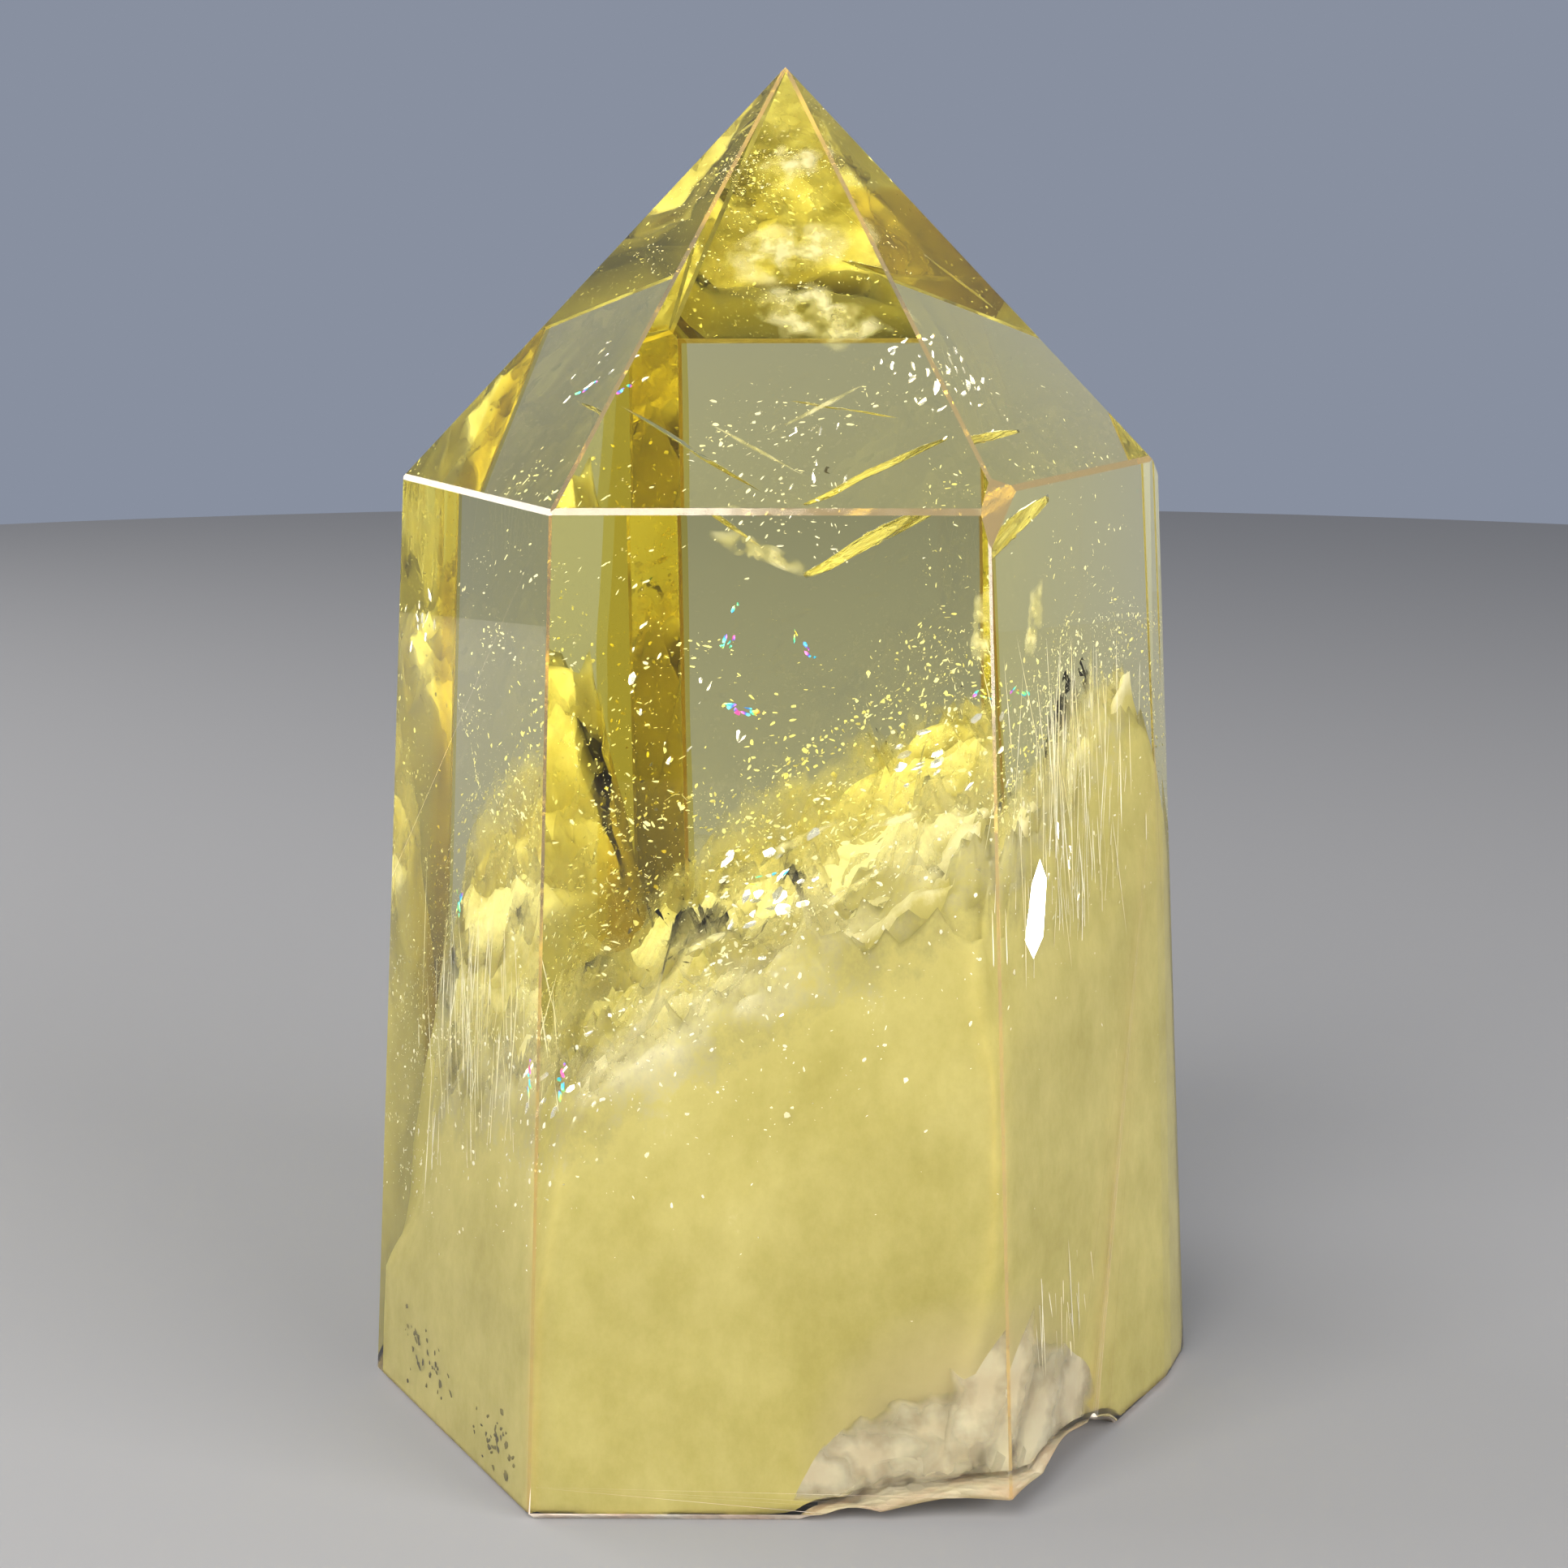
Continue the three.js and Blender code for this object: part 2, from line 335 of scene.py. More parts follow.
def milky_quartz(name, lacy):
    """Milky quartz: matt, pale where it is thin, at the crests of its top, and deeper yellow where it is
    dense, low down. The pale top is also painted light: a lighter colour that stands in for the light
    falling on the top of the cloud. Where it is lacy, fine noise and the cover decide what is closed and
    what is open, so that depth shows through it."""
    material, tree = blank_material(name)
    place = node(tree, "ShaderNodeTexCoord").outputs["Object"]
    drawn_out = node(tree, "ShaderNodeMapping", {"Scale": (1, 1, 0.7)}, {"Vector": place})
    lace = node(tree, "ShaderNodeTexNoise", {"Scale": pattern_scale(2.4), "Detail": 5.0, "Roughness": 0.7},
                {"Vector": drawn_out.outputs[0]})
    dense = node(tree, "ShaderNodeAttribute", {"attribute_name": "cover"})
    drift = node(tree, "ShaderNodeTexNoise", {"Scale": pattern_scale(9), "Detail": 2.0}, {"Vector": place})
    curds = node(tree, "ShaderNodeMapRange", {"From Min": 0.32, "From Max": 0.68, "To Max": 0.45},
                 {"Value": lace.outputs[0]})
    mottled = node(tree, "ShaderNodeMath", {"operation": "ADD"},
                   {0: curds.outputs[0], 1: dense.outputs["Fac"]})
    depth = node(tree, "ShaderNodeMath", {"operation": "ADD"}, {0: drift.outputs[0], 1: mottled.outputs[0]})
    tone = node(tree, "ShaderNodeMapRange", {"From Min": 0.45, "From Max": 2.2}, {"Value": depth.outputs[0]})
    # Painted light: the pale end of this ramp, reached where the cover thins at the crests, lights up the
    # cloud's top.
    pale = node(tree, "ShaderNodeValToRGB", None, {"Fac": tone.outputs[0]},
                ((0.18, "fdf8dc"), (1.0, "a89f56"), (0.5, "c6bd7a")))
    bruise = node(tree, "ShaderNodeVectorMath", {"operation": "DISTANCE", 1: BRUISE}, {0: place})
    bruised = node(tree, "ShaderNodeMapRange",
                   {"From Min": 5 * MM, "From Max": 12 * MM, "To Min": 0.9, "To Max": 0.0},
                   {"Value": bruise.outputs["Value"]})
    milk_colour_with_painted_top_light = node(tree, "ShaderNodeMix", {"data_type": "RGBA", 7: linear("c4b892")},
                 {0: bruised.outputs[0], 6: pale.outputs[0]})
    shader = node(tree, "ShaderNodeBsdfPrincipled", {"Roughness": 0.9, "Specular IOR Level": 0.0},
                  {"Base Color": milk_colour_with_painted_top_light.outputs[2]})
    if lacy:
        both = node(tree, "ShaderNodeMath", {"operation": "ADD"},
                    {0: lace.outputs[0], 1: dense.outputs["Fac"]})
        veiled = node(tree, "ShaderNodeMapRange", {"From Min": 0.6, "From Max": 1.25},
                      {"Value": both.outputs[0]})
        tree.links.new(veiled.outputs[0], shader.inputs["Alpha"])
    node(tree, "ShaderNodeOutputMaterial", None, {"Surface": shader.outputs[0]})
    return material


dense_milk = milky_quartz("dense_milky_quartz", lacy=False)
cloud_body("milky_heart", dense_milk, further=1.2, lower=2.0, tear=1.8, seed=11)
lacy_milk = milky_quartz("lacy_milky_quartz", lacy=True)
cloud_body("milky_cloud", lacy_milk, further=0.0, lower=0.0, tear=6.5, seed=3)


# Healed fractures: cracks that closed again round drops of fluid. The drops lie in curved sheets, flat to the
# sheet, thick in some patches and few in others, and cross the stone above and in front of the cloud.
FLAKE_SIDES = 6
FLAKE_MARGIN = 0.25 * MM
FLAKE_JAG = (0.45, 1)
DROP_THICKNESS = 0.02
DROP_SLIMNESS = (0.2, 0.6)
SMALLEST_DROP = 0.12
# Drops are picked from this many times their number, where the ragged waves and some chance are highest.
VEIL_TRIES = 3
VEIL_PATCHES = (0.2, 2.2)
VEIL_CHANCE = 0.25
# The sheets' waves along and across, in radians per mm, and how high the second is beside the first.
VEIL_WAVES = (0.35, 0.5)
SECOND_WAVE = 0.7
DROP_TILT = 0.25
DROP_TURN = 0.5
VEILS = [
    # middle, facing, long way, half length, half width, waviness, drops, largest drop; sizes in mm
    ((8, -9, 40), (-0.35, -0.55, 0.75), (1, 0.2, 0.3), 14, 11, 1.8, 337, 0.42),
    ((-3, -4, 34), (0.25, -0.8, 0.5), (1, 0, -0.3), 16, 10, 2.0, 337, 0.42),
    ((3, 10, 45), (0.1, -0.6, 0.8), (1, 0.3, 0.1), 17, 10, 2.0, 337, 0.42),
    ((4, -17, 38), (0.1, -0.95, 0.25), (1, 0, 0.6), 12, 8, 1.2, 337, 0.36),
    ((15, -9, 38), (0.75, -0.6, 0.2), (0, 0.2, 1), 15, 8, 1.0, 337, 0.36),
    ((-17, -10, 24), (-0.8, -0.5, 0.3), (0, 0, 1), 16, 8, 1.2, 337, 0.36),
    ((10, 2, 48), (-0.5, -0.5, 0.7), (1, 0.3, 0.6), 13, 8, 1.6, 337, 0.36),
    ((-8, 4, 42), (0.5, -0.6, 0.6), (0.6, 0.2, 0.8), 13, 8, 1.6, 337, 0.36),
    ((3, -8, 64), (0.3, -0.6, 0.7), (1, 0, 0.5), 11, 6, 1.2, 200, 0.35),
    ((-9, -6, 58), (-0.3, -0.6, 0.7), (1, 0, 0.6), 11, 6, 1.2, 200, 0.35),
    ((14, 4, 56), (0.6, -0.5, 0.6), (0.2, 0.4, 1), 10, 6, 1.2, 200, 0.35),
    ((0, -3, 82), (0.1, -0.75, 0.65), (1, 0, 0.2), 3.5, 3, 0.4, 500, 0.16),
    ((0, 2, 76), (-0.2, -0.7, 0.7), (1, 0, -0.3), 8, 5, 0.8, 300, 0.2),
    ((6, 14, 38), (0.3, 0.8, 0.5), (1, 0, 0.4), 15, 9, 1.8, 337, 0.36),
    ((-10, 10, 34), (-0.5, 0.7, 0.5), (0.6, 0.5, 0.6), 13, 8, 1.6, 400, 0.36),
    ((18, 8, 40), (0.85, 0.4, 0.3), (0, 0.3, 1), 14, 8, 1.2, 400, 0.36),
]


def unit(rows):
    """Each row over its own length."""
    return rows / np.linalg.norm(rows, axis=-1, keepdims=True)


def flakes_piece(name, middle, facing, long_way, length, width, thickness, material):
    """Many flat flakes as one mesh. Each is a ring of corners at uneven shares of an ellipse, joined to a
    point a little above and one a little below its middle. Flakes that would come near the crystal's faces
    are left out. Places and sizes are in millimetres."""
    middle, length, width = middle * MM, length * MM, width * MM
    facing = unit(facing)
    first = unit(long_way - facing * np.einsum("ij,ij->i", facing, long_way)[:, None])
    second = np.cross(facing, first)
    ends = np.stack([middle + length[:, None] * first, middle - length[:, None] * first,
                     middle + width[:, None] * second, middle - width[:, None] * second])
    keep = (WALL_OFFSETS - ends @ WALL_NORMALS.T).min(axis=(0, 2)) > FLAKE_MARGIN
    middle, length, width, facing, first, second = (
        part[keep] for part in (middle, length, width, facing, first, second))
    turn = np.linspace(0, 2 * np.pi, FLAKE_SIDES, endpoint=False)
    jag = np.random.default_rng(len(middle)).uniform(*FLAKE_JAG, (len(middle), FLAKE_SIDES, 1))
    ring = middle[:, None] + jag * (np.cos(turn)[:, None] * (length[:, None] * first)[:, None]
                                    + np.sin(turn)[:, None] * (width[:, None] * second)[:, None])
    tips = middle[:, None] + np.array([[1.0], [-1.0]]) * thickness * MM * facing[:, None]
    points = np.concatenate([ring, tips], axis=1)
    here, after = np.arange(FLAKE_SIDES), np.roll(np.arange(FLAKE_SIDES), -1)
    over = np.column_stack([here, after, np.full(FLAKE_SIDES, FLAKE_SIDES)])
    under = np.column_stack([after, here, np.full(FLAKE_SIDES, FLAKE_SIDES + 1)])
    starts = np.arange(len(middle)) * (FLAKE_SIDES + 2)
    faces = (starts[:, None, None] + np.concatenate([over, under])[None]).reshape(-1, 3)
    add_flaw(name, points.reshape(-1, 3), faces.tolist(), material)


def veil_drops(rng, middle, facing, long_way, length, width, wave, count, largest):
    """Drops scattered over an elliptical sheet that rises by a sine wave each way, thinned where the ragged
    waves over it are low. Returns places, facings, long ways and half lengths in mm."""
    facing = unit(np.array(facing, float))
    first = unit(np.array(long_way, float) - facing * (facing @ np.array(long_way, float)))
    second = np.cross(facing, first)
    tries = count * VEIL_TRIES
    spread, turn = np.sqrt(rng.uniform(0, 1, tries)), rng.uniform(0, 2 * np.pi, tries)
    u, v = spread * np.cos(turn) * length, spread * np.sin(turn) * width
    patchy = torn_waves(u * MM, v * MM, int(rng.integers(1000)), *VEIL_PATCHES)
    patchy = patchy + rng.normal(0, VEIL_CHANCE, tries)
    chosen = np.argsort(-patchy)[:count]
    u, v = u[chosen], v[chosen]
    long_wave = np.sin(u * VEIL_WAVES[0] + rng.uniform(0, 6))
    rise = wave * (long_wave + np.sin(v * VEIL_WAVES[1] + rng.uniform(0, 6)) * SECOND_WAVE)
    place = np.array(middle, float) + u[:, None] * first + v[:, None] * second + rise[:, None] * facing
    size = largest * (SMALLEST_DROP + (1 - SMALLEST_DROP) * rng.uniform(0, 1, count) ** 3)
    tilted = facing + rng.normal(0, DROP_TILT, (count, 3))
    return place, tilted, first + rng.normal(0, DROP_TURN, (count, 3)), size


rng = np.random.default_rng(8)
drops = [np.concatenate(part) for part in zip(*(veil_drops(rng, *row) for row in VEILS))]
# Fluid drops: pale cream and half shiny, so a sheet of them reads as a speckled veil.
drop, tree = blank_material("fluid_drop_veil")
place = node(tree, "ShaderNodeTexCoord").outputs["Object"]
tone = node(tree, "ShaderNodeTexNoise", {"Scale": pattern_scale(6), "Detail": 2.0}, {"Vector": place})
cream = node(tree, "ShaderNodeValToRGB", None, {"Fac": tone.outputs[0]},
             ((0.35, "f6f0cc"), (0.65, "fffef8")))
shader = node(tree, "ShaderNodeBsdfPrincipled", {"Roughness": 0.35}, {"Base Color": cream.outputs[0]})
node(tree, "ShaderNodeOutputMaterial", None, {"Surface": shader.outputs[0]})
drop_widths = drops[3] * rng.uniform(*DROP_SLIMNESS, len(drops[3]))
flakes_piece("healed_veils", *drops, drop_widths, DROP_THICKNESS, drop)


# Pits: single fluid drops large enough to see, scattered all round under the faces of the milky half, most of
# them where the cloud thins out.
PIT_COUNT = 8000
# Heights are shares of the cloud's sloping top: the mean, the spread, the lowest and the highest.
PIT_HEIGHT, PIT_SPREAD = 0.85, 0.2
PIT_LOWEST, PIT_HIGHEST = 0.05, 1.08
PIT_PLAN = 20 * MM
# Depths under the faces and half lengths in mm, most of them near the first value.
PIT_DEPTHS = (0.6, 16.6)
PIT_LENGTHS = (0.04, 0.3)
PIT_SLIMNESS = (0.3, 0.9)
PIT_TILT = 0.5
rng = np.random.default_rng(12)
turn = rng.uniform(0, 2 * np.pi, PIT_COUNT)
along = np.column_stack([np.cos(turn), np.sin(turn), np.zeros(PIT_COUNT)])
height = np.clip(rng.normal(PIT_HEIGHT, PIT_SPREAD, PIT_COUNT), PIT_LOWEST, PIT_HIGHEST)
foot = along * [0, 0, 1]
foot[:, 2] = height * (CLOUD_TOP + along[:, :2] @ CLOUD_SLOPE * PIT_PLAN)
depth = PIT_DEPTHS[0] + (PIT_DEPTHS[1] - PIT_DEPTHS[0]) * rng.uniform(0, 1, PIT_COUNT) ** 1.5
place = foot / MM + (wall_distance(foot, along) / MM - depth)[:, None] * along
size = PIT_LENGTHS[0] + (PIT_LENGTHS[1] - PIT_LENGTHS[0]) * rng.uniform(0, 1, PIT_COUNT) ** 3
flakes_piece("pits", place, along + rng.normal(0, PIT_TILT, (PIT_COUNT, 3)),
             rng.normal(0, 1, (PIT_COUNT, 3)), size, size * rng.uniform(*PIT_SLIMNESS, PIT_COUNT),
             DROP_THICKNESS, drop)


# Glints: small open breaks inside the stone, films of air that flash like mirrors where they face the light.
# They lie in tight clusters, each broken at one blow, so that their flakes nearly line up.
GLINT_CLUSTERS = [
    # middle, facing, long way, spread, count, half length, slimness
    ((7.9, -7.7, 69.7), (0.1, -0.84, 0.53), (0.3, 0, 1), 1.3, 16, 0.5, 0.5),
    ((10, -7.5, 67.5), (0.1, -0.84, 0.53), (0.2, 0, 1), 1.2, 12, 0.6, 0.4),
    ((-1.4, -16.9, 38.8), (-0.12, -0.96, 0.26), (1, 0, 0.6), 1.8, 26, 0.8, 0.5),
    ((8.6, -16.4, 48), (-0.12, -0.96, 0.26), (1, 0, 0.7), 1.5, 20, 0.6, 0.45),
    ((-23.5, -2.5, 54), (-0.7, -0.7, 0.2), (0, 0, 1), 1.3, 14, 0.6, 0.35),
    ((1, -14, 65.5), (-0.12, -0.84, 0.53), (0.3, 0, 1), 1.6, 12, 0.5, 0.25),
    ((-10.5, -7.5, 69), (-0.4, -0.75, 0.5), (1, 0, 0.8), 1.4, 10, 0.5, 0.3),
    ((-13.4, -18.5, 27), (-0.12, -0.96, 0.26), (0.4, 0, 1), 1.5, 14, 0.6, 0.4),
    ((17, -13, 40), (0.6, -0.78, 0.17), (0.2, 0, 1), 2.0, 14, 0.8, 0.25),
    ((20, -10, 47), (0.6, -0.78, 0.17), (0.1, 0, 1), 2.5, 14, 0.8, 0.2),
    ((-7, -15, 51), (-0.12, -0.96, 0.26), (0.6, 0, 1), 2.0, 14, 0.6, 0.4),
    ((3, -16, 33), (-0.12, -0.96, 0.26), (0.9, 0, 0.6), 4.0, 30, 0.5, 0.4),
]
# One larger leaf: middle, facing, long way, half length, half width.
LEAF = ((15.0, -16.6, 38), (0.62, -0.76, 0.17), (0.18, 0.1, 1), 5.0, 1.6)
GLINT_LENGTHS = (0.25, 1.1)
GLINT_WIDTHS = (0.6, 1.3)
GLINT_SCATTER = (1, 0.6, 1)
GLINT_TILT = 0.14
GLINT_TURN = 0.3
FILM_THICKNESS = 0.015
rng = np.random.default_rng(21)
groups = []
for middle, facing, long_way, spread, count, size, slim in GLINT_CLUSTERS:
    length = size * rng.uniform(*GLINT_LENGTHS, count)
    groups.append((np.array(middle) + rng.normal(0, spread, (count, 3)) * GLINT_SCATTER,
                   unit(np.array(facing)) + rng.normal(0, GLINT_TILT, (count, 3)),
                   np.array(long_way) + rng.normal(0, GLINT_TURN, (count, 3)), length,
                   length * slim * rng.uniform(*GLINT_WIDTHS, count)))
groups.append(tuple(np.array([value]) for value in LEAF))
glints = [np.concatenate(part) for part in zip(*groups)]
# Air film: a clean white mirror with a slight crinkle.
mirror, tree = blank_material("air_film_glint")
place = node(tree, "ShaderNodeTexCoord").outputs["Object"]
ripple = node(tree, "ShaderNodeTexNoise", {"Scale": pattern_scale(0.6), "Detail": 2.0}, {"Vector": place})
crinkle = node(tree, "ShaderNodeBump", {"Strength": 0.3, "Distance": 0.1 * MM}, {"Height": ripple.outputs[0]})
shader = node(tree, "ShaderNodeBsdfPrincipled",
              {"Base Color": linear("fffdf4"), "Metallic": 0.8, "Roughness": 0.22},
              {"Normal": crinkle.outputs[0]})
node(tree, "ShaderNodeOutputMaterial", None, {"Surface": shader.outputs[0]})
flakes_piece("glints", *glints, FILM_THICKNESS, mirror)


# Open cracks: breaks that never healed, thin gaps of air across the clear part above the cloud. They mirror
# the yellow below when seen aslant and are clear when seen square.
CRACK_THICKNESS = 0.03
CRACKS = [
    # middle, facing, long way, half length, half width, waviness
    ((4, -10, 67), (0.3, 0.5, 0.8), (1, 0, 0.8), 4.5, 0.4, 0.2),
    ((-6, -6, 63), (0.5, 0.5, 0.7), (1, 0, -0.7), 5, 0.5, 0.3),
    ((6, -2, 60), (-0.4, 0.55, 0.7), (1, 0.2, 0.6), 5.5, 1.2, 0.4),
    ((8, 6, 72), (0.4, 0.5, 0.75), (1, 0, 0.3), 4, 1.0, 0.3),
]
AIR_IN_QUARTZ = 1 / QUARTZ_IOR
SHEET_MARGIN = 0.25 * MM
SMALLEST_REACH = 0.05 * MM
LOBES = (2, 3, 5, 9)
LOBE_DEPTHS = (0.03, 0.14)
SHEET_WAVES = (1, 2, 4)
SHEET_WAVE_HEIGHTS = (0.3, 1)


def lens_sheet(middle, facing, long_way, length, width, wave, seed, thickness, rings, spokes, ragged=1.0):
    """A closed, lens-thin sheet on a polar grid. The outline is an ellipse with ragged lobes, cut short by
    the crystal's faces; the sheet rises along its facing by a few sine waves; two skins, apart by a lens
    profile, meet at the rim. Returns points, triangles and the share of the way from rim to middle."""
    rng = np.random.default_rng(seed)
    middle = np.asarray(middle, float) * MM
    facing = unit(np.asarray(facing, float))
    long_way = np.asarray(long_way, float)
    first = unit(long_way - facing * (long_way @ facing))
    second = np.cross(facing, first)
    turn = np.linspace(0, 2 * np.pi, spokes, endpoint=False)
    along = np.cos(turn)[:, None] * first + np.sin(turn)[:, None] * second
    lobes = sum(rng.uniform(*LOBE_DEPTHS) * np.sin(k * turn + rng.uniform(0, 2 * np.pi)) for k in LOBES)
    ellipse = MM / np.sqrt((np.cos(turn) / length) ** 2 + (np.sin(turn) / width) ** 2)
    room = np.clip(wall_distance(middle, along) - SHEET_MARGIN, SMALLEST_REACH, None)
    reach = np.minimum(ellipse * (1 + ragged * lobes), room)
    share = np.linspace(0, 1, rings + 1)[1:]
    flat = share[:, None, None] * reach[None, :, None] * along[None]
    u, v = flat @ first / (length * MM), flat @ second / (width * MM)
    rise = sum(rng.uniform(*SHEET_WAVE_HEIGHTS) / k
               * np.sin(k * (u * rng.uniform(-2, 2) + v * rng.uniform(-2, 2))) for k in SHEET_WAVES)
    rise = rise * wave * MM * (1 - 0.5 * share[:, None] ** 2)
    half = thickness * MM * np.sqrt(np.clip(1 - share**2, 0, 1))[:, None]
    upper = middle + flat + (rise + half)[..., None] * facing
    lower = middle + flat + (rise - half)[..., None] * facing
    poles = middle + np.array([[thickness * MM], [-thickness * MM]]) * facing
    points = np.concatenate([poles, upper.reshape(-1, 3), lower[:-1].reshape(-1, 3)])
    inward = np.concatenate([[1, 1], np.repeat(1 - share, spokes), np.repeat(1 - share[:-1], spokes)])
    ring, after = np.arange(spokes), np.roll(np.arange(spokes), -1)
    above = 2 + np.arange(rings)[:, None] * spokes
    below = np.concatenate([above[:-1] + rings * spokes, above[-1:]])
    fans = [np.column_stack([np.zeros_like(ring), above[0] + ring, above[0] + after]),
            np.column_stack([np.ones_like(ring), below[0] + after, below[0] + ring])]
    up_a, up_b = above[:-1] + ring, above[1:] + ring
    up_c, up_d = above[1:] + after, above[:-1] + after
    down_a, down_b = below[:-1] + ring, below[1:] + ring
    down_c, down_d = below[1:] + after, below[:-1] + after
    skins = [np.stack(side, -1).reshape(-1, 3) for side in (
        (up_a, up_b, up_c), (up_a, up_c, up_d), (down_a, down_c, down_b), (down_a, down_d, down_c))]
    return points, np.concatenate(fans + skins), inward


def sheets_piece(name, sheets, material):
    """Joins sheets into one piece, with the way in from the rim kept as the attribute 'inward'."""
    starts = np.cumsum([0] + [len(points) for points, _, _ in sheets[:-1]])
    points = behind_scar(np.concatenate([points for points, _, _ in sheets]))
    faces = np.concatenate([faces + start for (_, faces, _), start in zip(sheets, starts)])
    mesh = add_flaw(name, points, faces.tolist(), material)
    inward = np.concatenate([way for _, _, way in sheets]).astype(np.float32)
    mesh.attributes.new("inward", "FLOAT", "POINT").data.foreach_set("value", inward)
    mesh.polygons.foreach_set("use_smooth", np.ones(len(faces), dtype=bool))


# Air gap: bare, smooth crack walls, so it shows only where it throws light back.
crack, tree = blank_material("air_gap_crack")
shader = node(tree, "ShaderNodeBsdfGlass", {"Color": (1, 1, 1, 1), "Roughness": 0.05, "IOR": AIR_IN_QUARTZ})
node(tree, "ShaderNodeOutputMaterial", None, {"Surface": shader.outputs[0]})
cracks = [lens_sheet(*row, seed, CRACK_THICKNESS, rings=12, spokes=40) for seed, row in enumerate(CRACKS, 50)]
sheets_piece("open_cracks", cracks, crack)


# Iron stain: a healed crack that runs along just under the left back face and holds a trace of iron rust. It
# is clear and flat, and what is seen by way of that face comes out a strong yellow.
LEFT_BACK = np.array([-0.86, 0.5, 0.06])
STAIN_DEPTH = 0.5 * MM
STAIN_REACH = 4 * MM
STAIN_HEIGHT = 44 * MM
STAIN_HALF_LENGTH, STAIN_HALF_WIDTH = 40, 5
stained_face = np.argmax(WALL_NORMALS @ LEFT_BACK)
stain_facing = WALL_NORMALS[stained_face]
stain_spot = np.array([0, 0, STAIN_HEIGHT])
stain_gap = WALL_OFFSETS[stained_face] - stain_spot @ stain_facing
stain_spot = stain_spot + (stain_gap - STAIN_DEPTH) * stain_facing
stain_across = unit(np.cross(stain_facing, [0, 0, 1]))
stain_spot = stain_spot + (wall_distance(stain_spot, stain_across[None])[0] - STAIN_REACH) * stain_across
# Iron-stained film: clear, flat and yellow, too thin to bend the light.
stain, tree = blank_material("iron_stained_film")
shader = node(tree, "ShaderNodeBsdfPrincipled",
              {"Base Color": linear("f7ee9c"), "Roughness": 0.0, "IOR": 1.0, "Transmission Weight": 1.0})
node(tree, "ShaderNodeOutputMaterial", None, {"Surface": shader.outputs[0]})
stain_sheet = lens_sheet(stain_spot / MM, stain_facing, (0, 0, 1), STAIN_HALF_LENGTH, STAIN_HALF_WIDTH,
                         wave=0.0, seed=71, thickness=CRACK_THICKNESS, rings=8, spokes=80, ragged=0.2)
sheets_piece("iron_stain", [stain_sheet], stain)


# Blades: flat, leaf-shaped films of trapped fluid, larger than the drops. The longest stands in the right
# front face, and smaller ones lie across the clear part above the cloud.
BLADES = [
    # middle, facing, long way, half length, half width, waviness
    ((15.4, -14.4, 37), (0.8, -0.55, 0.1), (0.15, 0.1, 1), 5.4, 1.2, 0.15),
    ((17.6, -12, 46), (0.8, -0.55, 0.1), (0.05, 0.1, 1), 3.6, 0.5, 0.1),
    ((19.5, -9.5, 51), (0.8, -0.55, 0.1), (0, 0.1, 1), 4.2, 0.35, 0.1),
    ((-1.9, -15.5, 60.7), (0.1, -0.8, 0.6), (1, 0, -0.55), 3.7, 0.8, 0.2),
    ((12.6, -10.2, 55.5), (0.5, -0.8, 0.3), (0.35, 0.2, 1), 3.0, 0.9, 0.2),
    ((2.5, -12, 68), (0, -0.8, 0.6), (1, 0, 0.75), 4.0, 0.2, 0.1),
    ((-2, -12, 65), (0, -0.8, 0.6), (1, 0, -0.8), 3.5, 0.16, 0.1),
    ((0, -16, 42), (0, -0.95, 0.3), (1, 0, 0.55), 4.5, 0.35, 0.2),
    ((4, -17, 39.5), (0, -0.95, 0.3), (1, 0, 0.7), 3.0, 0.3, 0.2),
    ((-5, -16.5, 36), (0, -0.95, 0.3), (1, 0, 0.5), 3.0, 0.3, 0.2),
    ((7, -17, 44), (0, -0.95, 0.3), (1, 0, 0.3), 2.4, 0.3, 0.2),
    ((0.4, -2.4, 83), (0, -0.78, 0.63), (1, 0, 0.3), 2.2, 1.5, 0.3),
    ((0, -4.5, 77), (0.1, -0.8, 0.6), (1, 0, 0.3), 4.5, 2.4, 0.5),
    ((2, -7, 73), (-0.1, -0.8, 0.6), (1, 0, -0.3), 5.0, 2.0, 0.5),
]
# Trapped film: pale and satiny, clear enough at its thin rim to melt into the stone.
blade, tree = blank_material("trapped_fluid_blade")
place = node(tree, "ShaderNodeTexCoord").outputs["Object"]
streak = node(tree, "ShaderNodeTexNoise", {"Scale": pattern_scale(1.5), "Detail": 3.0}, {"Vector": place})
way_in = node(tree, "ShaderNodeAttribute", {"attribute_name": "inward"})
rim = node(tree, "ShaderNodeMapRange", {"From Max": 0.5, "To Max": 0.55}, {"Value": way_in.outputs["Fac"]})
cream = node(tree, "ShaderNodeValToRGB", None, {"Fac": streak.outputs[0]},
             ((0.4, "e2d878"), (0.6, "f8f3c6")))
lacy = node(tree, "ShaderNodeMapRange", {"From Min": 0.35, "From Max": 0.6}, {"Value": streak.outputs[0]})
cover = node(tree, "ShaderNodeMath", {"operation": "MULTIPLY"}, {0: rim.outputs[0], 1: lacy.outputs[0]})
shader = node(tree, "ShaderNodeBsdfPrincipled", {"Roughness": 0.3},
              {"Base Color": cream.outputs[0], "Alpha": cover.outputs[0]})
node(tree, "ShaderNodeOutputMaterial", None, {"Surface": shader.outputs[0]})
blades = [lens_sheet(*row, seed, CRACK_THICKNESS, rings=8, spokes=36) for seed, row in enumerate(BLADES, 80)]
sheets_piece("blades", blades, blade)


